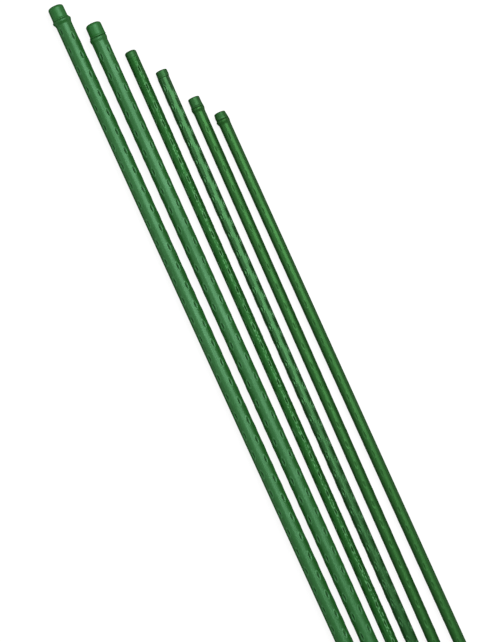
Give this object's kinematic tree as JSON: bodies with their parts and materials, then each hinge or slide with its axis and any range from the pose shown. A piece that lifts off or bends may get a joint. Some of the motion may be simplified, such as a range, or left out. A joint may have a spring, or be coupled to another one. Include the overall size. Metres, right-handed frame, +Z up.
{
  "type": "plant stake set",
  "caption": "Straight green plastic-coated steel plant stakes, thick and thin, with dimpled coats, moulded head caps and pointed feet, laid side by side.",
  "frame": {"origin": "under the middle of the set, on the surface that it lies on", "axes": "+Y along the stakes towards their heads, +X across the row to the thin stakes, +Z up"},
  "size_m": [0.0844, 0.7092, 0.0128],
  "materials": {
    "steel_core": "drawn tube",
    "green_coat": "satin extruded",
    "green_cap": "satin moulded",
    "green_point": "moulded"
  },
  "bodies": {
    "stake_1": {"stake_1_core_tube": "steel_core", "stake_1_coat": "green_coat", "stake_1_cap": "green_cap", "stake_1_point": "green_point"},
    "stake_2": {"stake_2_core_tube": "steel_core", "stake_2_coat": "green_coat", "stake_2_cap": "green_cap", "stake_2_point": "green_point"},
    "stake_3": {"stake_3_core_tube": "steel_core", "stake_3_coat": "green_coat", "stake_3_cap": "green_cap", "stake_3_point": "green_point"},
    "stake_4": {"stake_4_core_tube": "steel_core", "stake_4_coat": "green_coat", "stake_4_cap": "green_cap", "stake_4_point": "green_point"},
    "stake_5": {"stake_5_core_tube": "steel_core", "stake_5_coat": "green_coat", "stake_5_cap": "green_cap", "stake_5_point": "green_point"},
    "stake_6": {"stake_6_core_tube": "steel_core", "stake_6_coat": "green_coat", "stake_6_cap": "green_cap", "stake_6_point": "green_point"}
  },
  "joints": [
    {"name": "stake_1_lift", "type": "slide", "parent": "stake_3", "child": "stake_1", "axis": [0, 0, 1], "range_m": [0, 0.12]},
    {"name": "stake_2_lift", "type": "slide", "parent": "stake_3", "child": "stake_2", "axis": [0, 0, 1], "range_m": [0, 0.12]},
    {"name": "stake_4_lift", "type": "slide", "parent": "stake_3", "child": "stake_4", "axis": [0, 0, 1], "range_m": [0, 0.12]},
    {"name": "stake_5_lift", "type": "slide", "parent": "stake_3", "child": "stake_5", "axis": [0, 0, 1], "range_m": [0, 0.12]},
    {"name": "stake_6_lift", "type": "slide", "parent": "stake_3", "child": "stake_6", "axis": [0, 0, 1], "range_m": [0, 0.12]}
  ]
}
